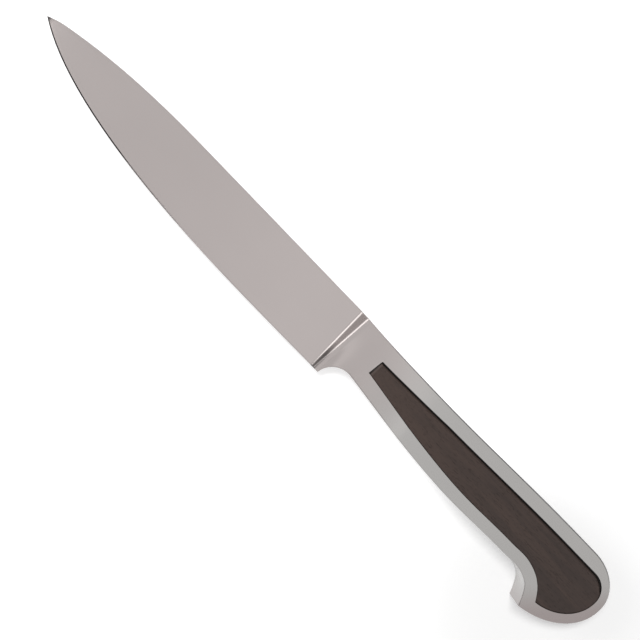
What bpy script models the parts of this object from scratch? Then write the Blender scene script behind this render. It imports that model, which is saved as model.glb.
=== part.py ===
"""Paring knife: blade, bolster and handle forged in one piece, with a wood inlay glued into each side.

All sizes are in millimetres and become metres when a mesh is made. A place on the knife is written
(along, down): along runs from the tip to the butt, down runs from the line of the spine to the edge.
The knife lies on its right side: +X points to the tip, +Y to the cutting edge, +Z to its left side.
"""

import math

import bmesh
import bpy
import numpy as np

MM = 0.001
MERGE_DISTANCE = 1e-7

# Blade outline
BLADE_LENGTH = 130.0
BLADE_HEIGHT = 21.9
TIP_DROP = 6.45
EDGE_STRAIGHT_LENGTH = 34.0
EDGE_TIP_ANGLE = math.radians(32.5)
EDGE_TIP_PULL = 24.0
EDGE_BELLY_PULL = 31.0
EDGE_HEEL_RISE = 0.25
SPINE_DROP_LENGTH = 64.0
SPINE_DROP_POWER = 2.6
TIP_ROUND_LENGTH = 6.0
TIP_ROUND_DROP = 0.65

# Blade section
SPINE_THICKNESS = 3.0
SPINE_TAPER_POWER = 0.45
SPINE_BREAK = 0.15
CUTTING_BEVEL = 0.4
SHOULDER_THICKNESS = 0.34

# Bolster step, a slope between two rounds, which narrows to nothing towards the heel
BOLSTER_THICKNESS = 9.3
STEP_AHEAD_OF_HEEL = 4.1
STEP_AHEAD_AT_EDGE = 3.25
STEP_SLOPE = math.radians(52.0)
STEP_FOOT_ROUND = 1.3
STEP_CREST_ROUND = 1.2

# Handle outline
HANDLE_LENGTH = 105.0
CHOIL_RADIUS = 6.8
GRIP_FRONT = 15.5
GRIP_MIDDLE = 18.95
GRIP_SWELL = 19.5
GRIP_REAR = 18.97
GRIP_MIDDLE_FROM_HEEL = 38.0
GRIP_SWELL_FROM_HEEL = 48.0
GRIP_REAR_FROM_BUTT = 31.0
BACK_AT_BOLSTER = 0.58
BACK_HOLLOW = 0.97
BACK_RISE = -0.1
BACK_HOLLOW_FROM_HEEL = 28.0
BACK_RISE_FROM_BUTT = 22.2

# Butt and its hook
BUTT_UPPER_ROUND_LENGTH = 12.6
BUTT_UPPER_ROUND_DEPTH = 10.3
BUTT_FLAT = 0.8
BUTT_LOWER_ROUND_LENGTH = 21.0
BUTT_LOWER_ROUND_DEPTH = 15.75
HOOK_POINT_FROM_BUTT = 17.25
HOOK_THROAT_RUN = 7.3
HOOK_THROAT_DROP = 7.45
HOOK_BEND_RUN = 3.4
HOOK_BEND_DROP = 5.8
HOOK_LIP_RUN = 1.1
HOOK_LIP_DROP = 2.5

# Handle section
HANDLE_THICKNESS = 14.0
FRONT_TAPER_LENGTH = 31.0
HANDLE_BREAK = 0.25

# Pocket for each inlay
WEB_THICKNESS = 4.6
POCKET_FROM_HEEL = 10.7
POCKET_FRONT_SLANT = 0.4
RIM_BACK_FRONT = 5.25
RIM_BACK = 4.2
RIM_BACK_NARROWING = 27.0
RIM_GRIP_FRONT = 4.85
RIM_GRIP = 3.68
RIM_GRIP_NARROWING = 48.0
RIM_HOOK = 4.4
RIM_BUTT = 2.5
RIM_BELOW = 4.0
POCKET_UPPER_ROUND_LENGTH = 5.8
POCKET_UPPER_ROUND_DEPTH = 5.9
POCKET_FLAT = 0.2
POCKET_LOWER_ROUND_LENGTH = 14.5

# Inlays and the glue under them
INLAY_CLEARANCE = 0.3
INLAY_RECESS = 0.2
INLAY_CHAMFER = 0.45
GLUE_THICKNESS = 0.3
GLUE_CLEARANCE = 0.3

# Finish: colour, how metallic and how rough
STEEL = ((0.44, 0.40, 0.39), 1.0, 0.35)
WOOD = ((0.067, 0.051, 0.048), 0.0, 0.45)
GLUE = ((0.03, 0.02, 0.015), 0.0, 0.4)

# Facets
BLADE_RIBS = 26
RIBS_CROWD_TO_TIP = 1.5
STEP_FOOT_RIBS = 6
STEP_CREST_RIBS = 5
CHOIL_RIBS = 11
TAPER_RIBS = 16
GRIP_RIBS = 12
HOOK_RIBS = 16
BUTT_RIBS = 18
FACE_COLUMNS = 4
PATH_SAMPLES = 400
SMOOTH_BELOW = math.radians(15.0)
LARGEST_BREAK = 0.3
THINNEST_WALL = 0.03

# Places worked out from the sizes above
OVERALL_LENGTH = BLADE_LENGTH + HANDLE_LENGTH
BUTT_UPPER_CENTRE = (OVERALL_LENGTH - BUTT_UPPER_ROUND_LENGTH, BACK_RISE + BUTT_UPPER_ROUND_DEPTH)
BUTT_LOWER_CENTRE = (OVERALL_LENGTH - BUTT_LOWER_ROUND_LENGTH, BUTT_UPPER_CENTRE[1] + BUTT_FLAT)
STEP_FOOT = BLADE_LENGTH - STEP_AHEAD_OF_HEEL
STEP_HEIGHT = (BOLSTER_THICKNESS - SPINE_THICKNESS) / 2
TAPER_TILT = math.atan((HANDLE_THICKNESS - BOLSTER_THICKNESS) / FRONT_TAPER_LENGTH)
CREST_RUN = STEP_CREST_ROUND * (math.sin(STEP_SLOPE) - math.sin(TAPER_TILT))
CREST_HEIGHT = STEP_CREST_ROUND * (math.cos(TAPER_TILT) - math.cos(STEP_SLOPE))
STEP_ROUNDS_RUN = STEP_FOOT_ROUND * math.sin(STEP_SLOPE) + CREST_RUN
STEP_ROUNDS_HEIGHT = STEP_FOOT_ROUND * (1.0 - math.cos(STEP_SLOPE)) + CREST_HEIGHT
STEP_SLOPE_RUN = (STEP_HEIGHT - STEP_ROUNDS_HEIGHT) / math.tan(STEP_SLOPE)
STEP_CREST = STEP_FOOT + STEP_ROUNDS_RUN + STEP_SLOPE_RUN
STEP_FOOT_AT_EDGE = BLADE_LENGTH - STEP_AHEAD_AT_EDGE
STEP_CREST_AT_EDGE = STEP_FOOT_AT_EDGE + STEP_ROUNDS_RUN
HEEL_HALF = SHOULDER_THICKNESS / 2 + STEP_ROUNDS_HEIGHT
HEEL_DOWN = BLADE_HEIGHT - EDGE_HEEL_RISE
CHOIL_END = BLADE_LENGTH + math.sqrt(CHOIL_RADIUS**2 - (GRIP_FRONT + CHOIL_RADIUS - HEEL_DOWN) ** 2)
TAPER_END = STEP_CREST + FRONT_TAPER_LENGTH


def ease_out(share):
    """Rises fast at first and flattens out at 1."""
    share = np.clip(share, 0.0, 1.0)
    return 1.0 - (1.0 - share) ** 2


def blend(start, end, share):
    return start + (end - start) * share


def smooth_path(points):
    """Samples one smooth curve through all the points."""
    points = np.array(points, float)
    places = np.concatenate([[0.0], np.cumsum(np.linalg.norm(np.diff(points, axis=0), axis=1))])
    slopes = np.gradient(points, places, axis=0)
    samples = np.linspace(0.0, places[-1], PATH_SAMPLES)
    spans = np.clip(np.searchsorted(places, samples, side="right") - 1, 0, len(points) - 2)
    lengths = (places[spans + 1] - places[spans])[:, None]
    t = (samples - places[spans])[:, None] / lengths
    start = (2 * t**3 - 3 * t**2 + 1) * points[spans] + (t**3 - 2 * t**2 + t) * lengths * slopes[spans]
    end = (3 * t**2 - 2 * t**3) * points[spans + 1] + (t**3 - t**2) * lengths * slopes[spans + 1]
    return start + end


def quarter_round(centre, length, depth, first, last):
    """Samples part of an ellipse; angle 0 points to the butt and a quarter turn points down."""
    angles = np.linspace(first, last, PATH_SAMPLES)
    return np.column_stack([centre[0] + length * np.cos(angles), centre[1] + depth * np.sin(angles)])


def evenly(path, count):
    """Picks count + 1 points at even distances along a path."""
    places = np.concatenate([[0.0], np.cumsum(np.linalg.norm(np.diff(path, axis=0), axis=1))])
    picked = np.linspace(0.0, places[-1], count + 1)
    return np.column_stack([np.interp(picked, places, path[:, axis]) for axis in (0, 1)])


def cutting_edge():
    """One curve from the tip to where the edge runs straight, then a slight rise to the heel."""
    straight_start = BLADE_LENGTH - EDGE_STRAIGHT_LENGTH
    direction = np.array([math.cos(EDGE_TIP_ANGLE), math.sin(EDGE_TIP_ANGLE)])
    tip = np.array([0.0, TIP_DROP])
    tip_handle = tip + EDGE_TIP_PULL * direction
    end = np.array([straight_start, BLADE_HEIGHT])
    end_handle = end - np.array([EDGE_BELLY_PULL, 0.0])
    t = np.linspace(0.0, 1.0, PATH_SAMPLES)[:, None]
    curve = (1 - t) ** 3 * tip + 3 * (1 - t) ** 2 * t * tip_handle
    curve += 3 * (1 - t) * t**2 * end_handle + t**3 * end
    share = np.linspace(0.0, 1.0, PATH_SAMPLES)
    straight = np.column_stack([
        straight_start + EDGE_STRAIGHT_LENGTH * share,
        BLADE_HEIGHT - EDGE_HEEL_RISE * share**2,
    ])
    return np.concatenate([curve, straight[1:]])


def back_line():
    """The spine of the blade and the back of the handle, as far as the round of the butt."""
    drop = np.linspace(0.0, SPINE_DROP_LENGTH, PATH_SAMPLES)
    down = (TIP_DROP - TIP_ROUND_DROP) * (1.0 - drop / SPINE_DROP_LENGTH) ** SPINE_DROP_POWER
    down += TIP_ROUND_DROP * np.maximum(1.0 - drop / TIP_ROUND_LENGTH, 0.0) ** 2
    blade = np.column_stack([drop, down])
    handle = smooth_path([
        (STEP_FOOT, 0.0),
        (CHOIL_END, BACK_AT_BOLSTER),
        (BLADE_LENGTH + BACK_HOLLOW_FROM_HEEL, BACK_HOLLOW),
        (OVERALL_LENGTH - BACK_RISE_FROM_BUTT, BACK_RISE),
        BUTT_UPPER_CENTRE - np.array([0.0, BUTT_UPPER_ROUND_DEPTH]),
    ])
    return np.concatenate([blade, handle])


def choil():
    """The round notch between the heel and the grip."""
    centre = (CHOIL_END, GRIP_FRONT + CHOIL_RADIUS)
    heel_angle = math.pi + math.asin((centre[1] - HEEL_DOWN) / CHOIL_RADIUS)
    return quarter_round(centre, CHOIL_RADIUS, CHOIL_RADIUS, heel_angle, 1.5 * math.pi)


def hook_point():
    along = OVERALL_LENGTH - HOOK_POINT_FROM_BUTT
    share = (along - BUTT_LOWER_CENTRE[0]) / BUTT_LOWER_ROUND_LENGTH
    return np.array([along, BUTT_LOWER_CENTRE[1] + BUTT_LOWER_ROUND_DEPTH * math.sqrt(1.0 - share**2)])


def grip_line():
    """The underside of the grip and the inner side of the hook, down to the hook's point."""
    point = hook_point()
    return smooth_path([
        (CHOIL_END, GRIP_FRONT),
        (BLADE_LENGTH + GRIP_MIDDLE_FROM_HEEL, GRIP_MIDDLE),
        (BLADE_LENGTH + GRIP_SWELL_FROM_HEEL, GRIP_SWELL),
        (OVERALL_LENGTH - GRIP_REAR_FROM_BUTT, GRIP_REAR),
        point - np.array([HOOK_THROAT_RUN, HOOK_THROAT_DROP]),
        point - np.array([HOOK_BEND_RUN, HOOK_BEND_DROP]),
        point - np.array([HOOK_LIP_RUN, HOOK_LIP_DROP]),
        point,
    ])


def lower_butt():
    share = (hook_point() - BUTT_LOWER_CENTRE) / (BUTT_LOWER_ROUND_LENGTH, BUTT_LOWER_ROUND_DEPTH)
    start = math.atan2(share[1], share[0])
    return quarter_round(BUTT_LOWER_CENTRE, BUTT_LOWER_ROUND_LENGTH, BUTT_LOWER_ROUND_DEPTH, start, 0.0)


def upper_butt():
    return quarter_round(
        BUTT_UPPER_CENTRE, BUTT_UPPER_ROUND_LENGTH, BUTT_UPPER_ROUND_DEPTH, -0.5 * math.pi, 0.0
    )


EDGE = cutting_edge()
BACK = back_line()
GRIP = grip_line()


def down_at(path, along):
    return np.interp(along, path[:, 0], path[:, 1])


def half_at_back(along):
    """Half the handle's thickness along its back: it swells from the bolster to the flat sides."""
    share = (along - STEP_CREST) / FRONT_TAPER_LENGTH
    return blend(BOLSTER_THICKNESS / 2, HANDLE_THICKNESS / 2, ease_out(share))


def half_at_grip(along):
    """Half the handle's thickness along its underside: thin at the heel, it leaves the crest at its tilt."""
    run = TAPER_END - STEP_CREST_AT_EDGE
    share = np.clip((along - STEP_CREST_AT_EDGE) / run, 0.0, 1.0)
    early_rise = run * math.tan(TAPER_TILT) * share * (1.0 - share) ** 2
    return blend(HEEL_HALF, HANDLE_THICKNESS / 2, share**2 * (3.0 - 2.0 * share)) + early_rise


def side_height(along, down):
    """Height of the handle's side above the middle plane."""
    back = down_at(BACK, along) + HANDLE_BREAK
    grip = down_at(GRIP, np.clip(along, CHOIL_END, TAPER_END)) - HANDLE_BREAK
    share = np.clip((down - back) / (grip - back), 0.0, 1.0)
    return blend(half_at_back(along), half_at_grip(along), share)


def inset(tops, bottoms, top_width, bottom_width):
    """Moves a closed outline inwards by a width for each point, keeping its corners."""
    outline = np.concatenate([tops, bottoms[::-1]])
    widths = np.concatenate([top_width, bottom_width[::-1]])
    before = outline - np.roll(outline, 1, axis=0)
    after = np.roll(outline, -1, axis=0) - outline
    for index in range(len(outline)):
        if np.allclose(before[index], 0.0):
            before[index] = after[index]
        if np.allclose(after[index], 0.0):
            after[index] = before[index]
    normals = []
    for edges in (before, after):
        edges = edges / np.linalg.norm(edges, axis=1)[:, None]
        normals.append(np.column_stack([-edges[:, 1], edges[:, 0]]))
    middle = normals[0] + normals[1]
    middle = middle / np.maximum(np.linalg.norm(middle, axis=1), 1e-6)[:, None]
    reach = widths / np.maximum(np.sum(middle * normals[0], axis=1), 0.5)
    moved = outline + middle * reach[:, None]
    return moved[: len(tops)], moved[len(tops):][::-1]


def place(points, heights):
    """World places of points on the knife at given heights above its middle plane."""
    points = np.asarray(points)
    return np.column_stack([
        (OVERALL_LENGTH / 2 - points[:, 0]) * MM,
        (points[:, 1] - (BACK_RISE + hook_point()[1]) / 2) * MM,
        (HANDLE_THICKNESS / 2 + heights) * MM,
    ])


def slab(name, layers):
    """Closes a stack of outlines into one solid. A layer is the places of its tops and of its bottoms."""
    bm = bmesh.new()
    shares = [column / FACE_COLUMNS for column in range(FACE_COLUMNS + 1)]
    rings = []
    faces = []
    for number, (tops, bottoms) in enumerate(layers):
        rows = {}
        for index, (top, bottom) in enumerate(zip(tops, bottoms)):
            at_end = index in (0, len(tops) - 1)
            is_face = number in (0, len(layers) - 1)
            kept = shares if at_end or is_face else (0.0, 1.0)
            rows[index] = [bm.verts.new(blend(top, bottom, share)) for share in kept]
        backs = [rows[index][0] for index in range(len(tops) - 1)]
        grips = [rows[index][-1] for index in range(len(tops) - 1)]
        rings.append(backs + rows[len(tops) - 1] + grips[::-1] + rows[0][-2:0:-1])
        if number in (0, len(layers) - 1):
            faces.append(rows)
    for low, high in zip(rings, rings[1:]):
        for index in range(len(low)):
            following = (index + 1) % len(low)
            bm.faces.new((low[index], low[following], high[following], high[index]))
    for rows in faces:
        for index in range(len(rows) - 1):
            for column in range(FACE_COLUMNS):
                corners = rows[index][column: column + 2] + rows[index + 1][column: column + 2][::-1]
                bm.faces.new(corners)
    bmesh.ops.remove_doubles(bm, verts=bm.verts, dist=MERGE_DISTANCE)
    bmesh.ops.recalc_face_normals(bm, faces=bm.faces)
    mesh = bpy.data.meshes.new(name)
    bm.to_mesh(mesh)
    bm.free()
    solid = bpy.data.objects.new(name, mesh)
    bpy.context.scene.collection.objects.link(solid)
    mesh.shade_smooth()
    mesh.set_sharp_from_angle(angle=SMOOTH_BELOW)
    return solid


def finish(solid, colour, metallic, roughness):
    material = bpy.data.materials.new(solid.name)
    material.use_nodes = True
    shader = material.node_tree.nodes["Principled BSDF"]
    shader.inputs["Base Color"].default_value = (*colour, 1.0)
    shader.inputs["Metallic"].default_value = metallic
    shader.inputs["Roughness"].default_value = roughness
    solid.data.materials.append(material)


def blade_ribs():
    """Ribs from the tip to the foot of the bolster step: points and half thicknesses at back and edge."""
    share = np.linspace(0.0, 1.0, BLADE_RIBS + 1) ** RIBS_CROWD_TO_TIP
    back_along = STEP_FOOT * share
    edge_along = STEP_FOOT_AT_EDGE * share
    tops = np.column_stack([back_along, down_at(BACK, back_along)])
    bottoms = np.column_stack([edge_along, down_at(EDGE, edge_along)])
    half_top = SPINE_THICKNESS / 2 * share**SPINE_TAPER_POWER
    half_bottom = np.minimum(SHOULDER_THICKNESS / 2, LARGEST_BREAK * half_top)
    return tops, bottoms, half_top, half_bottom


def step_ribs():
    """The bolster step: a hollow round at its foot, a slope that narrows to nothing, and a rounded crest."""
    foot = np.linspace(0.0, STEP_SLOPE, STEP_FOOT_RIBS + 1)[1:]
    crest = np.linspace(STEP_SLOPE, TAPER_TILT, STEP_CREST_RIBS + 1)
    run = np.concatenate([
        STEP_FOOT_ROUND * np.sin(foot),
        STEP_ROUNDS_RUN - STEP_CREST_ROUND * (np.sin(crest) - math.sin(TAPER_TILT)),
    ])
    height = np.concatenate([
        STEP_FOOT_ROUND * (1.0 - np.cos(foot)),
        STEP_ROUNDS_HEIGHT - STEP_CREST_ROUND * (math.cos(TAPER_TILT) - np.cos(crest)),
    ])
    past_slope = np.concatenate([np.zeros(len(foot)), np.ones(len(crest))])
    back_along = STEP_FOOT + run + past_slope * STEP_SLOPE_RUN
    edge_along = STEP_FOOT_AT_EDGE + run
    tops = np.column_stack([back_along, down_at(BACK, back_along)])
    bottoms = np.column_stack([edge_along, down_at(EDGE, edge_along)])
    half_top = SPINE_THICKNESS / 2 + height + past_slope * (STEP_HEIGHT - STEP_ROUNDS_HEIGHT)
    return tops, bottoms, half_top, SHOULDER_THICKNESS / 2 + height


def handle_ribs():
    """Ribs from the heel corner to the end of the butt."""
    notch = evenly(choil(), CHOIL_RIBS)
    notch_back = np.linspace(STEP_CREST, CHOIL_END, CHOIL_RIBS + 2)[1:]
    upright = np.concatenate([
        np.linspace(CHOIL_END, TAPER_END, TAPER_RIBS + 1)[1:],
        np.linspace(TAPER_END, OVERALL_LENGTH - GRIP_REAR_FROM_BUTT, GRIP_RIBS + 1)[1:],
    ])
    hook_back_end = hook_point()[0] - HOOK_BEND_RUN
    hook = evenly(GRIP[GRIP[:, 0] >= upright[-1]], HOOK_RIBS)[1:]
    hook_back = np.linspace(upright[-1], hook_back_end, HOOK_RIBS + 1)[1:]
    butt_back = BACK[BACK[:, 0] >= hook_back_end]
    butt_back = evenly(np.concatenate([butt_back, upper_butt()]), BUTT_RIBS)[1:]
    butt = evenly(lower_butt(), BUTT_RIBS)[1:]
    back_along = np.concatenate([notch_back, upright, hook_back])
    tops = np.concatenate([np.column_stack([back_along, down_at(BACK, back_along)]), butt_back])
    grips = np.column_stack([upright, down_at(GRIP, upright)])
    bottoms = np.concatenate([notch, grips, hook, butt])
    return tops, bottoms


def make_body():
    """Blade, bolster and handle in one piece, before the pockets are cut."""
    blade_tops, blade_bottoms, blade_half, blade_shoulder = blade_ribs()
    step_tops, step_bottoms, step_half, step_shoulder = step_ribs()
    handle_tops, handle_bottoms = handle_ribs()
    tops = np.concatenate([blade_tops, step_tops, handle_tops])
    bottoms = np.concatenate([blade_bottoms, step_bottoms, handle_bottoms])
    half_top = np.concatenate([blade_half, step_half, half_at_back(handle_tops[:, 0])])
    half_bottom = np.concatenate([blade_shoulder, step_shoulder, half_at_grip(handle_bottoms[:, 0])])

    height = np.linalg.norm(bottoms - tops, axis=1)
    handle_start = len(blade_tops) + len(step_tops)
    top_break = np.where(np.arange(len(tops)) < handle_start, SPINE_BREAK, HANDLE_BREAK)
    top_break = np.minimum(top_break, LARGEST_BREAK * np.minimum(half_top, height))
    past_edge = np.clip((bottoms[:, 0] - STEP_FOOT_AT_EDGE) / STEP_ROUNDS_RUN, 0.0, 1.0)
    bottom_break = blend(CUTTING_BEVEL, HANDLE_BREAK, past_edge)
    bottom_break = np.minimum(bottom_break, LARGEST_BREAK * height)
    bevel_height = np.minimum(half_bottom, blend(SHOULDER_THICKNESS / 2, HANDLE_BREAK, past_edge))
    wall_bottom = half_bottom - bevel_height
    wall_bottom[wall_bottom < THINNEST_WALL] = 0.0

    face_tops, face_bottoms = inset(tops, bottoms, top_break, bottom_break)
    face_tops[0] = tops[0]
    face_bottoms[0] = bottoms[0]
    layers = []
    for side in (-1, 1):
        face = (place(face_tops, side * half_top), place(face_bottoms, side * half_bottom))
        wall = (place(tops, side * (half_top - top_break)), place(bottoms, side * wall_bottom))
        layers.extend([face, wall] if side < 0 else [wall, face])
    body = slab("knife_body", layers)
    finish(body, *STEEL)
    return body


def pocket_ribs():
    """The outline of a pocket, as matching points on its back side and its grip side."""
    front = BLADE_LENGTH + POCKET_FROM_HEEL
    rear = OVERALL_LENGTH - RIM_BUTT
    ceiling = BACK_RISE + RIM_BACK
    floor = hook_point()[1] - RIM_BELOW
    upper_start = rear - POCKET_UPPER_ROUND_LENGTH
    back_path = BACK[(BACK[:, 0] > BLADE_LENGTH) & (BACK[:, 0] < upper_start)]
    back_rim = np.interp(back_path[:, 0], (front, front + RIM_BACK_NARROWING), (RIM_BACK_FRONT, RIM_BACK))
    back_path = np.column_stack([back_path[:, 0], back_path[:, 1] + back_rim])
    upper_centre = (upper_start, ceiling + POCKET_UPPER_ROUND_DEPTH)
    upper = quarter_round(
        upper_centre, POCKET_UPPER_ROUND_LENGTH, POCKET_UPPER_ROUND_DEPTH, -0.5 * math.pi, 0.0
    )
    lower_centre = (rear - POCKET_LOWER_ROUND_LENGTH, upper_centre[1] + POCKET_FLAT)
    lower = quarter_round(
        lower_centre, POCKET_LOWER_ROUND_LENGTH, floor - lower_centre[1], 0.0, 0.5 * math.pi
    )[::-1]
    tangent = np.gradient(GRIP, axis=0)
    tangent = tangent / np.linalg.norm(tangent, axis=1)[:, None]
    bend = hook_point()[0] - HOOK_BEND_RUN
    grip_rim = np.interp(
        GRIP[:, 0],
        (front, front + RIM_GRIP_NARROWING, bend, hook_point()[0]),
        (RIM_GRIP_FRONT, RIM_GRIP, RIM_GRIP, RIM_HOOK),
    )
    grip_path = GRIP + np.column_stack([tangent[:, 1], -tangent[:, 0]]) * grip_rim[:, None]
    under_round = (grip_path[:, 0] > lower[0, 0]) & (grip_path[:, 1] > down_at(lower, grip_path[:, 0]))
    grip_path = grip_path[~np.logical_or.accumulate(under_round)]
    lower = lower[lower[:, 0] > grip_path[-1, 0]]

    upright = np.concatenate([
        np.linspace(front, TAPER_END, TAPER_RIBS),
        np.linspace(TAPER_END, OVERALL_LENGTH - GRIP_REAR_FROM_BUTT, GRIP_RIBS + 1)[1:],
    ])
    hook = evenly(grip_path[grip_path[:, 0] >= upright[-1]], HOOK_RIBS)[1:]
    hook_back = np.linspace(upright[-1], hook_point()[0], HOOK_RIBS + 1)[1:]
    butt_back = np.concatenate([back_path[back_path[:, 0] >= hook_back[-1]], upper])
    butt_back = evenly(butt_back, BUTT_RIBS)[1:]
    butt = evenly(lower, BUTT_RIBS)[1:]
    back_along = np.concatenate([upright, hook_back])
    tops = np.concatenate([np.column_stack([back_along, down_at(back_path, back_along)]), butt_back])
    grip_along = np.concatenate([[front - POCKET_FRONT_SLANT], upright[1:]])
    grips = np.column_stack([grip_along, down_at(grip_path, grip_along)])
    bottoms = np.concatenate([grips, hook, butt])
    return tops, bottoms


def narrowed(tops, bottoms, width):
    return inset(tops, bottoms, np.full(len(tops), width), np.full(len(bottoms), width))


def level(tops, bottoms, side, height):
    """An outline at one height on one side of the middle plane."""
    return tuple(place(points, np.full(len(points), side * height)) for points in (tops, bottoms))


def surface(tops, bottoms, side, depth):
    """An outline that follows the handle's side, a given depth below it."""
    heights = [side * (side_height(points[:, 0], points[:, 1]) - depth) for points in (tops, bottoms)]
    return place(tops, heights[0]), place(bottoms, heights[1])


def cut_pocket(body, side, name):
    """Cuts one pocket down to the web between the two inlays."""
    tops, bottoms = pocket_ribs()
    beyond = HANDLE_THICKNESS
    cutter = slab(name, [
        level(tops, bottoms, side, WEB_THICKNESS / 2),
        level(tops, bottoms, side, beyond),
    ])
    cutter.hide_render = True
    cutter.display_type = "WIRE"
    cut = body.modifiers.new(name, "BOOLEAN")
    cut.operation = "DIFFERENCE"
    cut.solver = "EXACT"
    cut.object = cutter


def make_glue(side, name):
    """The bed of cured glue that holds an inlay to the web."""
    tops, bottoms = narrowed(*pocket_ribs(), INLAY_CLEARANCE)
    bottom = WEB_THICKNESS / 2 + GLUE_CLEARANCE
    glue = slab(name, [
        level(tops, bottoms, side, bottom),
        level(tops, bottoms, side, bottom + GLUE_THICKNESS),
    ])
    finish(glue, *GLUE)


def make_inlay(side, name):
    """A wood inlay, a little below the steel round it, with its upper edges chamfered."""
    tops, bottoms = narrowed(*pocket_ribs(), INLAY_CLEARANCE)
    face_tops, face_bottoms = narrowed(tops, bottoms, INLAY_CHAMFER)
    bottom = WEB_THICKNESS / 2 + 2 * GLUE_CLEARANCE + GLUE_THICKNESS
    inlay = slab(name, [
        level(tops, bottoms, side, bottom),
        surface(tops, bottoms, side, INLAY_RECESS + INLAY_CHAMFER),
        surface(face_tops, face_bottoms, side, INLAY_RECESS),
    ])
    finish(inlay, *WOOD)


def main():
    for old in list(bpy.data.objects):
        bpy.data.objects.remove(old, do_unlink=True)
    body = make_body()
    for side, word in ((1, "left"), (-1, "right")):
        cut_pocket(body, side, f"pocket_{word}_cutter")
        make_glue(side, f"glue_bed_{word}")
        make_inlay(side, f"inlay_{word}")


main()
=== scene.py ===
"""Paring knife: the finish of each of its pieces, and the plain studio that it lies in.

All sizes are in metres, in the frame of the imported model. The knife lies on its right side: +X
points to the tip, +Y to the cutting edge and +Z to its left side.
"""

import math

import bmesh
import bpy
from bpy.props import FloatProperty, FloatVectorProperty, PointerProperty
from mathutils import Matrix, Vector


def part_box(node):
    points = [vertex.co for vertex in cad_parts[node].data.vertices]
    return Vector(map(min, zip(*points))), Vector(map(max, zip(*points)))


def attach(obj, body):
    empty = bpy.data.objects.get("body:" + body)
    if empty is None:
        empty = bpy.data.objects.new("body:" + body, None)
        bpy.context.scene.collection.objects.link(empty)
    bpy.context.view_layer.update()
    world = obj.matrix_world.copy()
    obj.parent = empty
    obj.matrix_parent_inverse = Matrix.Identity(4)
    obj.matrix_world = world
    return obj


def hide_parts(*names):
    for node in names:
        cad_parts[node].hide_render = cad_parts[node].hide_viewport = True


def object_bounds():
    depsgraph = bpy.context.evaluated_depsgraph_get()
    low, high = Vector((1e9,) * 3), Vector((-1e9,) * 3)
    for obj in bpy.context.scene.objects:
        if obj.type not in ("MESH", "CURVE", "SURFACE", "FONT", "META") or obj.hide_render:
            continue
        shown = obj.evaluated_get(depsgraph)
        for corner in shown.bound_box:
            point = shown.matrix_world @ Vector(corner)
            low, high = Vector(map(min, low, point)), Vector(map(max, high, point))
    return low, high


bl_info = {
    "name": "Paring Knife",
    "version": (1, 0, 0),
    "blender": (4, 5, 0),
    "location": "3D View > Sidebar > Knife",
    "description": "Forged paring knife with wood inlays, and a plain studio for it",
    "category": "Add Mesh",
}

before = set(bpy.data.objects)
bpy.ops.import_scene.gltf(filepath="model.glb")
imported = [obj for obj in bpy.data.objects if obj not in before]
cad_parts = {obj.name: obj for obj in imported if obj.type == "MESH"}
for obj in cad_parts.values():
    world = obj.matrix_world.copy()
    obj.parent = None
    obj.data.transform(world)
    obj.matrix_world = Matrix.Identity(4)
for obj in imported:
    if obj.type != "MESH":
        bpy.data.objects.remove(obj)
CAD_LOW, CAD_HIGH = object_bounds()
MIDDLE_PLANE = (CAD_LOW.z + CAD_HIGH.z) / 2
WOOD_LOW, WOOD_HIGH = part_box("inlay_left")

SIDES = {"left": 1, "right": -1}

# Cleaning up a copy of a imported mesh
WELD = 2e-5
FLAT = math.radians(0.1)
SMOOTH_BELOW = math.radians(32.0)
CREASE_ABOVE = math.radians(20.0)

# Edges that stay as sharp as they were ground: those near the middle plane, and those at the heel
MIDDLE_ZONE = 0.0003
HEEL_X = -0.0128
HEEL_Y = 0.007

# Faces of the cutting bevel: in front of the step, and turned to the cutting edge this far
STEP_FOOT_X = -0.0093
HONED_NORMAL = (0.1, 0.7)

# Where the blade's colour gives way to the handle's, along X
HANDLE_BLEND = (-0.018, -0.045)

# Where painted shade turns the handle's steel warmer and darker at the butt's lower end, measured
# along this slanting direction
SLANT_X = -0.72
SLANT_Y = 0.69
BUTT_SHADE_BLEND = (0.0745, 0.0845)

# The step from the blade to the bolster, along X, and the painted shade that darkens it towards the
# heel, along Y
STEP_FOOT = (-0.0094, -0.0099)
STEP_CREST = (-0.0114, -0.0108)
HEEL_BLEND = (-0.002, 0.0032)
HEEL_SHADE = 0.65

# The outer edge along the handle's back, along Y, and how much painted shade darkens it
BACK_BLEND = (-0.0085, -0.0105)
BACK_SHADE = 0.5

# Where the cutting bevel turns to a painted highlight, then to scratches under a painted dark
# reflection, then to deeper painted shade at the tip, along X
PAINTED_HIGHLIGHT_BLEND = (0.022, 0.045)
DARK_REFLECTION_BLEND = (0.069, 0.0745)
TIP_BLEND = (0.1, 0.109)
TIP_SHADE = 0.7

# The front end of each inlay, along X from that end: a pale painted highlight, then painted shade
# down in the seam
END_HIGHLIGHT_RANGE = (-0.0011, -0.0007)
END_HIGHLIGHT_WOOD = (0.118, 0.092, 0.082)
END_HIGHLIGHT_SHARE = 0.6
END_SHADE_RANGE = (-0.0005, -0.0001)
END_SHADE_SHARE = 0.85

# Usual sizes of the smaller patterns, along the knife and across it
CLOUDS = (0.028, 0.016)
WORN_SPOTS = (0.004, 0.002)
FIBRES = (0.008, 0.00025)
PORE_WIDTH = 0.00014
DIMPLES = (0.0006, 0.0004)

# Where most of a noise's values lie, and the ranges of them that single patterns change over
NOISE_MIDDLE = (0.3, 0.7)
WORN_RANGE = (0.35, 0.65)
LINE_RANGE = (0.25, 0.75)
PORE_RANGE = (0.62, 0.7)
GRAIN_RANGE = (0.3, 0.72)

# How much lighter the grain is at the front end of an inlay than at the butt, as painted light
PAINTED_LIGHT_SHIFT = (-0.05, 0.12)

# How high the patterns stand
LINE_HEIGHT = 1e-6
SCRATCH_HEIGHT = 1.5e-6
GRAIN_HEIGHT = 2e-5
DIMPLE_HEIGHT = 1e-5

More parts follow.
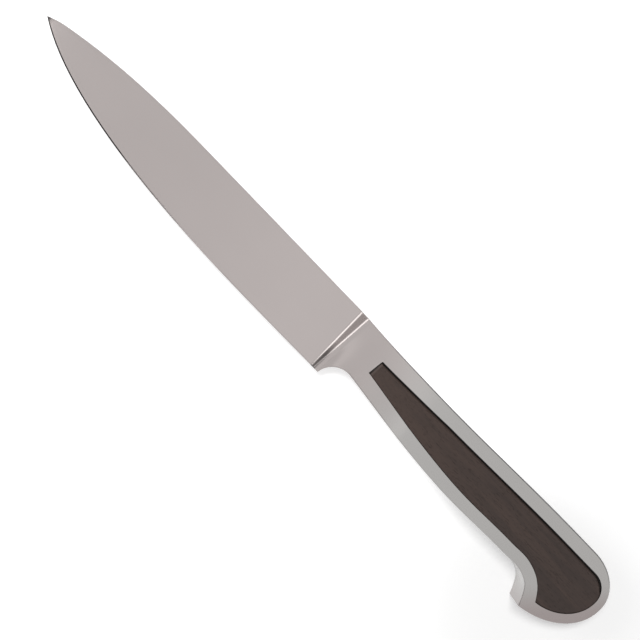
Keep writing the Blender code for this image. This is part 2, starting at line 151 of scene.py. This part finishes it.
# What a finish's colour is multiplied by, where it is darkest and where it is brightest
SATIN_TONES = (0.985, 1.015)
# The edges' tones wander at random as wear, and both lie below the steel's own colour as a painted
# dark reflection
WEAR_AND_SHADE_TONES = (0.84, 0.98)
# The cutting bevel's painted highlight, up to about twice the steel's own colour
BEVEL_HIGHLIGHT_TONES = (1.05, 2.1)
HONED_TONES = (0.7, 1.3)
GLUE_TONES = (0.8, 1.3)
PORE_TONE = 0.35
PORE_SHARE = 0.6

# How far the roughness of a finish wanders, what a pore adds to it, and the glue's from low to high
SATIN_SPREAD = 0.02
HONED_SPREAD = 0.06
SHEEN_SPREAD = 0.05
PORE_ROUGHNESS = 0.2
GLUE_ROUGHNESS = (0.4, 0.55)

# The sides of an inlay, told apart by the way they face: its walls, its shoulders, and where the
# gap along its back side begins and where it is fully open
WALL_NORMAL = 0.1
TURN = math.radians(22.5)
SHOULDER_NORMAL = (0.1, 0.75)
GAP_OPENS = 0.3
GAP_OPEN = 0.85

# The place of the butt on the floor, and how far from it painted light turns the floor from pale to
# white
BUTT_X = -0.112
BUTT_Y = 0.01
PAINTED_LIGHT_REACH = (0.015, 0.06)

# What the steel mirrors from overhead, by direction: brighter over the bolster than the handle
OVERHEAD = (0.75, 0.9)
OVER_BOLSTER = (0.2, 0.0)
BOLSTER_GAIN = 0.19
OVER_HANDLE = (-0.04, -0.155)
HANDLE_LOSS = 0.26

# The floor, the lights and the dark cards, with their turns and tilts in degrees
FLOOR_SIZE = 4.0
FLOOR_GAP = 1e-5
LAMP_DISTANCE = 1.2
SOFTBOX_PLACE = {"turn": 13.0, "tilt": 52.0, "width": 0.4, "height": 0.69}
LAMP_PLACE = {"turn": -33.0, "tilt": 16.0, "width": 0.4, "height": 0.2}
BACK_CARD = {"place": (-0.17, -0.2, 0.07), "size": (0.3, 0.14), "turn": -90.0, "tilt": 90.0}
EDGE_CARD = {"place": (0.78, 1.07, 0.89), "size": (1.2, 0.55), "turn": 54.0, "tilt": 56.0}
CARD_SHADE = 0.03

# The camera looks straight down on this place
CAMERA_X = -0.00204
CAMERA_Y = -0.00258
CAMERA_TURN = math.radians(-133.9)
SENSOR_WIDTH = 36.0


class SteelSettings(bpy.types.PropertyGroup):
    """Finish of the forged body."""

    colour: FloatVectorProperty(
        name="Steel",
        description="Colour of the satin steel",
        subtype="COLOR",
        size=3,
        min=0.0,
        max=1.0,
        default=(0.435, 0.395, 0.385),
    )
    # Painted shade: a warmer, darker colour for the steel at the butt's lower end
    butt_shade_colour: FloatVectorProperty(
        name="Butt steel",
        description="Colour of the satin steel at the end of the butt, which handling has warmed",
        subtype="COLOR",
        size=3,
        min=0.0,
        max=1.0,
        default=(0.355, 0.312, 0.306),
    )
    handle_colour: FloatVectorProperty(
        name="Handle steel",
        description="Colour of the satin steel on the handle, which is ground less brightly",
        subtype="COLOR",
        size=3,
        min=0.0,
        max=1.0,
        default=(0.432, 0.421, 0.41),
    )
    satin: FloatProperty(
        name="Satin roughness",
        description="Roughness of the ground faces",
        subtype="FACTOR",
        min=0.0,
        max=1.0,
        default=0.22,
    )
    # Painted dark reflection on the cutting bevel towards the tip, with the whetstone's scratches
    # over it
    honed_dark_reflection_colour: FloatVectorProperty(
        name="Honed steel",
        description="Colour of the fine scratches that the whetstone leaves on the cutting edge",
        subtype="COLOR",
        size=3,
        min=0.0,
        max=1.0,
        default=(0.14, 0.13, 0.125),
    )
    polish: FloatProperty(
        name="Edge roughness",
        description="Roughness where handling has polished the edges",
        subtype="FACTOR",
        min=0.0,
        max=1.0,
        default=0.16,
    )
    edge_round: FloatProperty(
        name="Edge rounding",
        description="Width of the rounding on the edges of the handle and the spine",
        unit="LENGTH",
        min=0.0,
        precision=5,
        default=0.00008,
    )
    line_length: FloatProperty(
        name="Grinding line length",
        description="Usual length of the fine lines that grinding leaves along the knife",
        unit="LENGTH",
        min=0.001,
        default=0.02,
    )
    line_width: FloatProperty(
        name="Grinding line width",
        description="Usual width of those lines",
        unit="LENGTH",
        min=0.00005,
        precision=5,
        default=0.00022,
    )


class WoodSettings(bpy.types.PropertyGroup):
    """Finish of the two inlays."""

    dark: FloatVectorProperty(
        name="Dark grain",
        description="Colour of the darker streaks",
        subtype="COLOR",
        size=3,
        min=0.0,
        max=1.0,
        default=(0.0448, 0.0328, 0.0292),
    )
    light: FloatVectorProperty(
        name="Light grain",
        description="Colour of the browner streaks",
        subtype="COLOR",
        size=3,
        min=0.0,
        max=1.0,
        default=(0.068, 0.0472, 0.04),
    )
    sheen: FloatProperty(
        name="Oiled roughness",
        description="Roughness of the oiled wood",
        subtype="FACTOR",
        min=0.0,
        max=1.0,
        default=0.42,
    )
    edge_round: FloatProperty(
        name="Edge rounding",
        description="Width of the rounding on the edges of each inlay",
        unit="LENGTH",
        min=0.0,
        precision=5,
        default=0.0002,
    )
    fit: FloatProperty(
        name="Fit",
        description="How far each inlay reaches into its seam, except along the back side",
        unit="LENGTH",
        min=0.0,
        precision=5,
        default=0.00025,
    )
    butt_fit: FloatProperty(
        name="Butt fit",
        description="How much further each inlay reaches into its seam at the butt",
        unit="LENGTH",
        min=0.0,
        precision=5,
        default=0.00013,
    )
    shoulder: FloatProperty(
        name="Shoulder",
        description="How much higher the shoulders of each inlay stand, except along the back side",
        unit="LENGTH",
        min=0.0,
        precision=5,
        default=0.00038,
    )
    gap: FloatProperty(
        name="Back side gap",
        description="How much wider the gap is along the back side of each inlay",
        unit="LENGTH",
        min=0.0,
        precision=5,
        default=0.0002,
    )
    streak_length: FloatProperty(
        name="Streak length",
        description="Usual length of a streak in the grain",
        unit="LENGTH",
        min=0.001,
        default=0.03,
    )
    streak_width: FloatProperty(
        name="Streak width",
        description="Usual width of a streak in the grain",
        unit="LENGTH",
        min=0.0001,
        precision=4,
        default=0.0022,
    )
    pore_length: FloatProperty(
        name="Pore length",
        description="Usual length of an open pore",
        unit="LENGTH",
        min=0.0001,
        precision=4,
        default=0.0018,
    )


class GlueSettings(bpy.types.PropertyGroup):
    """The cured glue under and round each inlay."""

    # Partly the glue's own dark colour, and partly painted shade in the seam
    colour: FloatVectorProperty(
        name="Glue",
        description="Colour of the cured glue",
        subtype="COLOR",
        size=3,
        min=0.0,
        max=1.0,
        default=(0.006, 0.0045, 0.004),
    )
    seam: FloatProperty(
        name="Seam width",
        description="Width of the glue between an inlay and the steel round it",
        unit="LENGTH",
        min=0.0001,
        precision=5,
        default=0.00029,
    )
    seam_depth: FloatProperty(
        name="Seam depth",
        description="How far the glue in the seam lies below the chamfer of the wood",
        unit="LENGTH",
        min=0.0,
        precision=5,
        default=0.0005,
    )
    bed: FloatProperty(
        name="Bed thickness",
        description="Thickness of the glue under an inlay",
        unit="LENGTH",
        min=0.0001,
        precision=5,
        default=0.00088,
    )


class StudioSettings(bpy.types.PropertyGroup):
    """The light, the floor and the camera."""

    floor_colour: FloatVectorProperty(
        name="Floor",
        description="Colour of the floor",
        subtype="COLOR",
        size=3,
        min=0.0,
        max=1.0,
        default=(0.8, 0.8, 0.8),
    )
    floor_glow: FloatProperty(
        name="Floor glow",
        description="White that the camera sees added to the floor, so that only deep shadow shows",
        min=0.0,
        default=0.32,
    )
    floor_shine: FloatProperty(
        name="Floor shine",
        description="White that is added to the floor as the steel mirrors it",
        min=0.0,
        default=0.37,
    )
    # Painted light: white added to the floor away from the butt, which hides the object's shadow
    # there
    shadow_hiding_glow: FloatProperty(
        name="Clear floor glow",
        description="White that is added away from the butt, where the floor shows little shadow",
        min=0.0,
        default=0.3,
    )
    sky: FloatProperty(
        name="Sky level",
        description="How strongly the white surroundings light the knife",
        min=0.0,
        default=0.3,
    )
    softbox: FloatProperty(
        name="Softbox level",
        description="Brightness of the softbox that draws the bright lines, where 1 is white",
        min=0.0,
        default=1.9,
    )
    lamp: FloatProperty(
        name="Lamp level",
        description="Brightness of the lamp that casts the butt's shadow, where 1 is white",
        min=0.0,
        default=28.5,
    )
    camera_height: FloatProperty(
        name="Camera height",
        description="Height of the camera above the floor",
        unit="LENGTH",
        min=0.05,
        default=0.316,
    )
    lens: FloatProperty(
        name="Lens",
        description="Focal length of the camera",
        subtype="DISTANCE_CAMERA",
        min=10.0,
        default=59.36,
    )


class KnifeSettings(bpy.types.PropertyGroup):
    """All the settings of the knife and its studio."""

    steel: PointerProperty(type=SteelSettings)
    wood: PointerProperty(type=WoodSettings)
    glue: PointerProperty(type=GlueSettings)
    studio: PointerProperty(type=StudioSettings)


def shaded(colour, factor):
    return tuple(channel * factor for channel in colour)


class Tone:
    """A value inside a shader. Arithmetic on it adds Math nodes to that shader."""

    def __init__(self, shader, socket):
        self.shader = shader
        self.socket = socket

    def output(self, name):
        """Another output of the same node."""
        return Tone(self.shader, self.socket.node.outputs[name])

    def __add__(self, other):
        return self.shader.maths("ADD", self, other)

    def __radd__(self, other):
        return self.shader.maths("ADD", other, self)

    def __sub__(self, other):
        return self.shader.maths("SUBTRACT", self, other)

    def __rsub__(self, other):
        return self.shader.maths("SUBTRACT", other, self)

    def __mul__(self, other):
        return self.shader.maths("MULTIPLY", self, other)

    def __rmul__(self, other):
        return self.shader.maths("MULTIPLY", other, self)


class Shader:
    """The nodes of one material or world."""

    def __init__(self, owner):
        owner.use_nodes = True
        self.tree = owner.node_tree
        self.tree.nodes.clear()

    def node(self, kind, settings=None, inputs=None):
        """Adds a node, with its settings before its values and links. Gives its first output."""
        made = self.tree.nodes.new(kind)
        for name, value in (settings or {}).items():
            setattr(made, name, value)
        for key, value in (inputs or {}).items():
            if isinstance(key, int):
                socket = made.inputs[key]
            else:
                socket = next(each for each in made.inputs if each.enabled and each.name == key)
            if isinstance(value, Tone):
                self.tree.links.new(value.socket, socket)
            else:
                socket.default_value = value
        shown = [each for each in made.outputs if each.enabled]
        return Tone(self, shown[0]) if shown else None

    def maths(self, operation, first, second):
        return self.node("ShaderNodeMath", {"operation": operation}, {0: first, 1: second})

    def place(self):
        return self.node("ShaderNodeTexCoord").output("Object")

    def parts(self, place):
        """The X of a place, with Y and Z as its other outputs."""
        return self.node("ShaderNodeSeparateXYZ", None, {"Vector": place})

    def stretched(self, place, along, across):
        """Coordinates whose unit is one length along the knife and another across it."""
        scale = (1.0 / along, 1.0 / across, 1.0 / across)
        return self.node("ShaderNodeMapping", None, {"Vector": place, "Scale": scale})

    def noise(self, place, detail, rough, distortion=0.0):
        return self.node("ShaderNodeTexNoise", None, {
            "Vector": place,
            "Scale": 1.0,
            "Detail": detail,
            "Roughness": rough,
            "Distortion": distortion,
        })

    def ramp(self, value, low, high, at_low=0.0, at_high=1.0):
        """Eases from one value to another while the input goes from low to high."""
        return self.node("ShaderNodeMapRange", {"interpolation_type": "SMOOTHSTEP"}, {
            "Value": value,
            "From Min": low,
            "From Max": high,
            "To Min": at_low,
            "To Max": at_high,
        })

    def tint(self, share, first, second):
        """Goes from the first colour to the second."""
        return self.node("ShaderNodeMix", {"data_type": "RGBA"}, {
            "Factor": share,
            "A": (*first, 1.0) if isinstance(first, tuple) else first,
            "B": (*second, 1.0) if isinstance(second, tuple) else second,
        })

    def darker(self, share, colour):
        return self.tint(share, colour, (0.0, 0.0, 0.0))

    def shades(self, share, colour, factors):
        """Goes from one shade of a colour to another."""
        return self.tint(share, *[shaded(colour, factor) for factor in factors])

    def bump(self, pattern, height):
        return self.node("ShaderNodeBump", None, {
            "Strength": 1.0,
            "Distance": height,
            "Height": pattern,
        })

    def surface(self, inputs):
        """The Principled BSDF and the material's output."""
        shine = self.node("ShaderNodeBsdfPrincipled", None, inputs)
        self.node("ShaderNodeOutputMaterial", None, {"Surface": shine})


def along_knife(shader, look, factor):
    """The steel's colour, from the blade's to the handle's, with warmer, darker painted shade at
    the end of the butt.
    """
    along = shader.parts(shader.place())
    on_handle = shader.ramp(along, *HANDLE_BLEND)
    steel = shader.tint(on_handle, shaded(look.colour, factor), shaded(look.handle_colour, factor))
    # Painted shade, warmer and darker, towards the butt's lower end
    slanting = along.output("Y") * SLANT_Y + along * SLANT_X
    return shader.tint(shader.ramp(slanting, *BUTT_SHADE_BLEND), steel, shaded(look.butt_shade_colour, factor))


def satin_steel(look):
    """Ground steel with fine lines along the knife, faint clouds, and painted shade on the step
    near the heel.
    """
    material = bpy.data.materials.new("satin_steel")
    shader = Shader(material)
    place = shader.place()
    line_place = shader.stretched(place, look.line_length, look.line_width)
    lines = shader.noise(line_place, detail=3.0, rough=0.6)
    clouds = shader.noise(shader.stretched(place, *CLOUDS), detail=2.0, rough=0.5)
    tone = shader.ramp(clouds * 0.7 + lines * 0.3, *NOISE_MIDDLE)
    steel = shader.tint(tone, *[along_knife(shader, look, factor) for factor in SATIN_TONES])
    along = shader.parts(place)
    # Painted shade on the step, deepening towards the heel
    on_step = shader.ramp(along, *STEP_FOOT) * shader.ramp(along, *STEP_CREST)
    shade = on_step * shader.ramp(along.output("Y"), *HEEL_BLEND) * HEEL_SHADE
    spread = (look.satin - SATIN_SPREAD, look.satin + SATIN_SPREAD)
    shader.surface({
        "Base Color": shader.darker(shade, steel),
        "Metallic": 1.0,
        "Roughness": shader.ramp(lines, *LINE_RANGE, *spread),
        "Normal": shader.bump(lines, LINE_HEIGHT),
    })
    return material


def edge_steel(look):
    """The rounded edges, which handling has polished in places, with tones kept below the steel's
    own as a painted dark reflection, and painted shade along the back.
    """
    material = bpy.data.materials.new("edge_steel")
    shader = Shader(material)
    place = shader.place()
    spots = shader.noise(shader.stretched(place, *WORN_SPOTS), detail=3.0, rough=0.6)
    wear = shader.ramp(spots, *WORN_RANGE)
    steel = shader.tint(wear, *[along_knife(shader, look, factor) for factor in WEAR_AND_SHADE_TONES])
    along = shader.parts(place)
    # Painted shade along the outer edge of the handle's back
    at_back = shader.ramp(along, *HANDLE_BLEND) * shader.ramp(along.output("Y"), *BACK_BLEND)
    shader.surface({
        "Base Color": shader.darker(at_back * BACK_SHADE, steel),
        "Metallic": 1.0,
        "Roughness": look.satin - wear * (look.satin - look.polish),
    })
    return material


def honed_steel(look):
    """The narrow bevel of the cutting edge: a painted highlight along its middle, then scratches
    under a painted dark reflection towards the tip, darker still at the tip.
    """
    material = bpy.data.materials.new("honed_steel")
    shader = Shader(material)
    place = shader.place()
    scratch_place = shader.stretched(place, look.line_width * 0.6, look.line_length * 0.3)
    scratches = shader.noise(scratch_place, detail=2.0, rough=0.6)
    along = shader.parts(place)
    # Painted highlight on the bevel, then the scratches under a painted dark reflection, with
    # painted shade at the tip
    bright = shader.shades(shader.ramp(along, *PAINTED_HIGHLIGHT_BLEND), look.colour, BEVEL_HIGHLIGHT_TONES)
    honed = shader.shades(scratches, look.honed_dark_reflection_colour, HONED_TONES)
    honed = shader.darker(shader.ramp(along, *TIP_BLEND) * TIP_SHADE, honed)
    shader.surface({
        "Base Color": shader.tint(shader.ramp(along, *DARK_REFLECTION_BLEND), bright, honed),
        "Metallic": 1.0,
        "Roughness": shader.ramp(scratches, *NOISE_MIDDLE, look.polish, look.polish + HONED_SPREAD),
        "Normal": shader.bump(scratches, SCRATCH_HEIGHT),
    })
    return material


def oiled_wood(look):
    """Dark close-grained hardwood: wandering streaks, fine fibres and short open pores, with
    painted light towards the front end, a painted highlight across that end and painted shade at
    its edge.
    """
    material = bpy.data.materials.new("oiled_wood")
    shader = Shader(material)
    place = shader.place()
    streak_place = shader.stretched(place, look.streak_length, look.streak_width)
    streaks = shader.noise(streak_place, detail=4.0, rough=0.55, distortion=0.6)
    fibres = shader.noise(shader.stretched(place, *FIBRES), detail=2.0, rough=0.6)
    pore_place = shader.stretched(place, look.pore_length, PORE_WIDTH)
    pores = shader.ramp(shader.noise(pore_place, detail=1.0, rough=0.5), *PORE_RANGE)
    along = shader.parts(place)
    # Painted light: the grain lightens towards the front end
    front = shader.ramp(along, WOOD_LOW.x, WOOD_HIGH.x, *PAINTED_LIGHT_SHIFT)
    tone = shader.ramp(streaks * 0.75 + fibres * 0.25 + front, *GRAIN_RANGE)
    grain = shader.tint(tone, tuple(look.dark), tuple(look.light))
    from_end = along - WOOD_HIGH.x
    # Painted highlight across the front end, then painted shade at its very edge
    grain = shader.tint(shader.ramp(from_end, *END_HIGHLIGHT_RANGE) * END_HIGHLIGHT_SHARE, grain, END_HIGHLIGHT_WOOD)
    grain = shader.darker(shader.ramp(from_end, *END_SHADE_RANGE) * END_SHADE_SHARE, grain)
    spread = (look.sheen - SHEEN_SPREAD, look.sheen + SHEEN_SPREAD)
    shader.surface({
        "Base Color": shader.tint(pores * PORE_SHARE, grain, shaded(look.dark, PORE_TONE)),
        "Roughness": shader.ramp(fibres, *NOISE_MIDDLE, *spread) + pores * PORE_ROUGHNESS,
        "Specular IOR Level": 0.25,
        "Normal": shader.bump(fibres * 0.25 - pores, GRAIN_HEIGHT),
    })
    return material


def cured_glue(look):
    """Dark glue, darkened further as painted shade in the seam, with the small dimples of the air
    that left it.
    """
    material = bpy.data.materials.new("cured_glue")
    shader = Shader(material)
    place = shader.place()
    dimples = shader.noise(shader.stretched(place, *DIMPLES), detail=2.0, rough=0.5)
    shader.surface({
        "Base Color": shader.shades(dimples, look.colour, GLUE_TONES),
        "Roughness": shader.ramp(dimples, *NOISE_MIDDLE, *GLUE_ROUGHNESS),
        "Specular IOR Level": 0.3,
        "Normal": shader.bump(dimples, DIMPLE_HEIGHT),
    })
    return material


def pick(piece):
    """Makes one object the only one selected, and active."""
    bpy.ops.object.select_all(action="DESELECT")
    piece.select_set(True)
    bpy.context.view_layer.objects.active = piece


def copy_node(node, name):
    """A new piece with a welded copy of a CAD node's mesh, left picked."""
    piece = bpy.data.objects.new(name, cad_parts[node].data.copy())
    piece.data.name = name
    piece.data.materials.clear()
    bpy.context.scene.collection.objects.link(piece)
    pick(piece)
    bpy.ops.mesh.customdata_custom_splitnormals_clear()
    bpy.ops.object.mode_set(mode="EDIT")
    bpy.ops.mesh.select_all(action="SELECT")
    bpy.ops.mesh.remove_doubles(threshold=WELD)
    bpy.ops.mesh.dissolve_limited(angle_limit=FLAT)
    bpy.ops.object.mode_set(mode="OBJECT")
    return piece


def choose(piece, kind, wanted):
    """In edit mode, selects the faces, edges or corners that the test wants."""
    bpy.ops.mesh.select_mode(type={"faces": "FACE", "edges": "EDGE", "verts": "VERT"}[kind])
    bpy.ops.mesh.select_all(action="DESELECT")
    work = bmesh.from_edit_mesh(piece.data)
    for part in getattr(work, kind):
        if wanted(part):
            part.select_set(True)
    bmesh.update_edit_mesh(piece.data)


def is_crease(edge):
    return edge.is_manifold and edge.calc_face_angle() > CREASE_ABOVE


def near_middle(part):
    """True where all corners lie near the middle plane, as on the cutting bevel and at the tip."""
    return all(abs(corner.co.z - MIDDLE_PLANE) < MIDDLE_ZONE for corner in part.verts)


def at_heel(part):
    return all(corner.co.x > HEEL_X and corner.co.y > HEEL_Y for corner in part.verts)


def is_honed(face):
    low, high = HONED_NORMAL
    on_blade = face.calc_center_median().x > STEP_FOOT_X
    return on_blade and near_middle(face) and low < face.normal.y < high


def is_rounded(edge):
    return is_crease(edge) and not near_middle(edge) and not at_heel(edge)


def move(piece, kind, wanted, offset):
    """In edit mode, moves the faces, edges or corners that the test wants."""
    choose(piece, kind, wanted)
    bpy.ops.transform.translate(value=offset)


def smooth(piece):
    """Shades the rounded faces as one surface and keeps the flats flat."""
    pick(piece)
    bpy.ops.object.shade_smooth_by_angle(angle=SMOOTH_BELOW)
    weigh = piece.modifiers.new("keep_flats", "WEIGHTED_NORMAL")
    weigh.keep_sharp = True
    weigh.weight = 100
    bpy.ops.object.modifier_apply(modifier=weigh.name)


class KNIFE_OT_forged_body(bpy.types.Operator):
    """Finish the forged body: rounded edges, satin faces and a honed cutting bevel"""

    bl_idname = "paring_knife.forged_body"
    bl_label = "Forged body"
    bl_options = {"REGISTER", "UNDO"}

    def execute(self, context):
        look = context.scene.paring_knife.steel
        body = copy_node("knife_body", "forged_body")
        for material in (satin_steel(look), edge_steel(look), honed_steel(look)):
            body.data.materials.append(material)
        bpy.ops.object.mode_set(mode="EDIT")
        choose(body, "edges", is_rounded)
        bpy.ops.mesh.bevel(
            offset=look.edge_round, segments=2, affect="EDGES", clamp_overlap=False, material=1
        )
        choose(body, "faces", is_honed)
        body.active_material_index = 2
        bpy.ops.object.material_slot_assign()
        bpy.ops.mesh.region_to_loop()
        bpy.ops.mesh.mark_sharp()
        bpy.ops.object.mode_set(mode="OBJECT")
        smooth(body)
        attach(body, "root")
        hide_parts("knife_body")
        return {"FINISHED"}


class KNIFE_OT_wood_inlays(bpy.types.Operator):
    """Finish the wood inlay in each side of the handle"""

    bl_idname = "paring_knife.wood_inlays"
    bl_label = "Wood inlays"
    bl_options = {"REGISTER", "UNDO"}

    def execute(self, context):
        look = context.scene.paring_knife.wood
        material = oiled_wood(look)
        for side in SIDES:
            inlay = copy_node(f"inlay_{side}", f"wood_inlay_{side}")
            inlay.data.materials.append(material)
            bpy.ops.object.mode_set(mode="EDIT")
            self.fit_sides(inlay, look, SIDES[side])
            choose(inlay, "edges", is_crease)
            bpy.ops.mesh.bevel(
                offset=look.edge_round, segments=4, affect="EDGES", clamp_overlap=False
            )
            bpy.ops.object.mode_set(mode="OBJECT")
            smooth(inlay)
            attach(inlay, "root")
            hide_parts(f"inlay_{side}")
        return {"FINISHED"}

    def fit_sides(self, inlay, look, outward):
        """In edit mode, moves the inlay's sides out and its shoulders up, but its back side in."""
        groups = {}
        for corner in bmesh.from_edit_mesh(inlay.data).verts:
            if any(is_crease(edge) for edge in corner.link_edges):
                facing = math.atan2(corner.normal.y, corner.normal.x)
                is_shoulder = SHOULDER_NORMAL[0] < corner.normal.z * outward < SHOULDER_NORMAL[1]
                groups.setdefault((round(facing / TURN), is_shoulder), set()).add(corner.index)
        for (turn, is_shoulder), corners in sorted(groups.items()):
            direction = Vector((math.cos(turn * TURN), math.sin(turn * TURN), 0.0))
            opening = min(max((-direction.y - GAP_OPENS) / (GAP_OPEN - GAP_OPENS), 0.0), 1.0)
            offset = direction * (look.fit - opening * (look.fit + look.gap))
            offset.x -= look.butt_fit * max(-direction.x, 0.0) ** 2
            if is_shoulder:
                offset.z = outward * look.shoulder * (1.0 - opening)
            move(inlay, "verts", lambda corner: corner.index in corners, offset)


class KNIFE_OT_cured_glue(bpy.types.Operator):
    """Pour the glue that fills the pocket under and round each inlay"""

    bl_idname = "paring_knife.cured_glue"
    bl_label = "Cured glue"
    bl_options = {"REGISTER", "UNDO"}

    def execute(self, context):
        look = context.scene.paring_knife.glue
        material = cured_glue(look)
        for side, outward in SIDES.items():
            tray = copy_node(f"inlay_{side}", f"cured_glue_{side}")
            tray.data.materials.append(material)
            bpy.ops.object.mode_set(mode="EDIT")
            choose(tray, "faces", lambda face: face.normal.z * outward > WALL_NORMAL)
            bpy.ops.mesh.delete(type="FACE")
            sunk = (0.0, 0.0, -outward * look.seam_depth)
            move(tray, "edges", lambda edge: edge.is_boundary, sunk)
            bpy.ops.object.mode_set(mode="OBJECT")
            wall = tray.modifiers.new("seam", "SOLIDIFY")
            wall.thickness = look.seam
            wall.offset = 1.0
            wall.use_even_offset = True
            bpy.ops.object.modifier_apply(modifier=wall.name)
            deepest = min(corner.co.z * outward for corner in tray.data.vertices)
            bpy.ops.object.mode_set(mode="EDIT")
            lowest = (0.0, 0.0, -outward * (look.bed - look.seam))
            move(tray, "faces", lambda face: all(
                corner.co.z * outward - deepest < WELD for corner in face.verts
            ), lowest)
            bpy.ops.object.mode_set(mode="OBJECT")
            smooth(tray)
            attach(tray, "root")
            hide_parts(f"glue_bed_{side}")
        return {"FINISHED"}


class KNIFE_OT_studio(bpy.types.Operator):
    """Set up the pale floor, the soft light and the camera"""

    bl_idname = "paring_knife.studio"
    bl_label = "Studio"
    bl_options = {"REGISTER", "UNDO"}

    def execute(self, context):
        look = context.scene.paring_knife.studio
        self.lay_floor(look)
        self.light_surroundings(context.scene, look)
        self.hang_lamp(context.scene, "softbox", look.softbox, **SOFTBOX_PLACE)
        lamp = self.hang_lamp(context.scene, "lamp", look.lamp, **LAMP_PLACE)
        lamp.visible_glossy = False
        self.stand_card("back_card", **BACK_CARD)
        self.stand_card("edge_card", **EDGE_CARD)
        self.set_camera(context.scene, look)
        context.scene.view_settings.view_transform = "Standard"
        return {"FINISHED"}

    def lay_floor(self, look):
        bpy.ops.object.select_all(action="DESELECT")
        bpy.ops.mesh.primitive_plane_add(
            size=FLOOR_SIZE, location=(0.0, 0.0, CAD_LOW.z - FLOOR_GAP)
        )
        floor = bpy.context.object
        floor.name = "studio_floor"
        material = bpy.data.materials.new("studio_floor")
        shader = Shader(material)
        camera = shader.node("ShaderNodeLightPath").output("Is Camera Ray")
        glossy = camera.output("Is Glossy Ray")
        along = shader.parts(shader.place())
        from_butt = along - BUTT_X
        beside_butt = along.output("Y") - BUTT_Y
        squared = from_butt * from_butt + beside_butt * beside_butt
        # Painted light that whitens the floor away from the butt, hiding the shadow there
        clear = shader.ramp(squared, *[limit ** 2 for limit in PAINTED_LIGHT_REACH]) * look.shadow_hiding_glow
        shader.surface({
            "Base Color": (*look.floor_colour, 1.0),
            "Roughness": 0.9,
            "Specular IOR Level": 0.0,
            "Emission Color": camera * (clear + look.floor_glow) + glossy * look.floor_shine,
            "Emission Strength": 1.0,
        })
        floor.data.materials.append(material)

    def light_surroundings(self, scene, look):
        """White to the camera, uneven overhead in the steel's reflections, and dim as light."""
        world = bpy.data.worlds.new("studio_world")
        scene.world = world
        shader = Shader(world)
        direction = shader.node("ShaderNodeTexCoord")
        along = shader.parts(direction)
        overhead = shader.ramp(along.output("Z"), *OVERHEAD)
        over_bolster = shader.ramp(along, *OVER_BOLSTER) * BOLSTER_GAIN
        over_handle = shader.ramp(along, *OVER_HANDLE) * HANDLE_LOSS
        camera = shader.node("ShaderNodeLightPath").output("Is Camera Ray")
        clear = camera + camera.output("Is Transmission Ray")
        brightness = 1.0 - look.sky + overhead * (over_bolster - over_handle)
        mirrored = camera.output("Is Glossy Ray") * brightness
        sky = shader.node("ShaderNodeBackground", None, {
            "Color": (1.0, 1.0, 1.0, 1.0),
            "Strength": look.sky + clear * (1.0 - look.sky) + mirrored,
        })
        shader.node("ShaderNodeOutputWorld", None, {"Surface": sky})

    def hang_lamp(self, scene, name, level, turn, tilt, width, height):
        """A soft rectangular lamp, turned from +X towards +Y and tilted from straight above."""
        light = bpy.data.lights.new(name, "AREA")
        light.shape = "RECTANGLE"
        light.size = height
        light.size_y = width
        light.energy = level * math.pi * width * height
        lamp = bpy.data.objects.new(name, light)
        scene.collection.objects.link(lamp)
        turn = math.radians(turn)
        tilt = math.radians(tilt)
        lamp.location = (
            LAMP_DISTANCE * math.sin(tilt) * math.cos(turn),
            LAMP_DISTANCE * math.sin(tilt) * math.sin(turn),
            LAMP_DISTANCE * math.cos(tilt),
        )
        lamp.rotation_euler = (0.0, tilt, turn)
        lamp.visible_camera = False
        return lamp

    def stand_card(self, name, place, size, turn, tilt):
        """A dark card that only reflections see. It draws the dark lines on the steel."""
        bpy.ops.object.select_all(action="DESELECT")
        bpy.ops.mesh.primitive_plane_add(
            size=1.0, location=place, rotation=(0.0, math.radians(tilt), math.radians(turn))
        )
        card = bpy.context.object
        card.name = name
        card.scale = (size[1], size[0], 1.0)
        material = bpy.data.materials.new(name)
        shader = Shader(material)
        shader.surface({
            "Base Color": (CARD_SHADE, CARD_SHADE, CARD_SHADE, 1.0),
            "Roughness": 1.0,
            "Specular IOR Level": 0.0,
        })
        card.data.materials.append(material)
        card.visible_camera = False
        card.visible_diffuse = False
        card.visible_shadow = False

    def set_camera(self, scene, look):
        lens = bpy.data.cameras.new("camera")
        lens.sensor_width = SENSOR_WIDTH
        lens.lens = look.lens
        camera = bpy.data.objects.new("camera", lens)
        scene.collection.objects.link(camera)
        camera.location = (CAMERA_X, CAMERA_Y, look.camera_height)
        camera.rotation_euler = (0.0, 0.0, CAMERA_TURN)
        scene.camera = camera


class KNIFE_PT_panel(bpy.types.Panel):
    """Settings and steps of the paring knife."""

    bl_idname = "KNIFE_PT_panel"
    bl_label = "Paring Knife"
    bl_space_type = "VIEW_3D"
    bl_region_type = "UI"
    bl_category = "Knife"

    def draw(self, context):
        settings = context.scene.paring_knife
        groups = (
            (settings.steel, KNIFE_OT_forged_body),
            (settings.wood, KNIFE_OT_wood_inlays),
            (settings.glue, KNIFE_OT_cured_glue),
            (settings.studio, KNIFE_OT_studio),
        )
        for group, operator in groups:
            box = self.layout.box()
            for name in type(group).__annotations__:
                box.prop(group, name)
            box.operator(operator.bl_idname)


CLASSES = (
    SteelSettings,
    WoodSettings,
    GlueSettings,
    StudioSettings,
    KnifeSettings,
    KNIFE_OT_forged_body,
    KNIFE_OT_wood_inlays,
    KNIFE_OT_cured_glue,
    KNIFE_OT_studio,
    KNIFE_PT_panel,
)


def register():
    for each in CLASSES:
        bpy.utils.register_class(each)
    bpy.types.Scene.paring_knife = PointerProperty(type=KnifeSettings)


def unregister():
    del bpy.types.Scene.paring_knife
    for each in reversed(CLASSES):
        bpy.utils.unregister_class(each)


def main():
    register()
    bpy.ops.paring_knife.forged_body()
    bpy.ops.paring_knife.wood_inlays()
    bpy.ops.paring_knife.cured_glue()
    bpy.ops.paring_knife.studio()


if __name__ == "__main__":
    main()
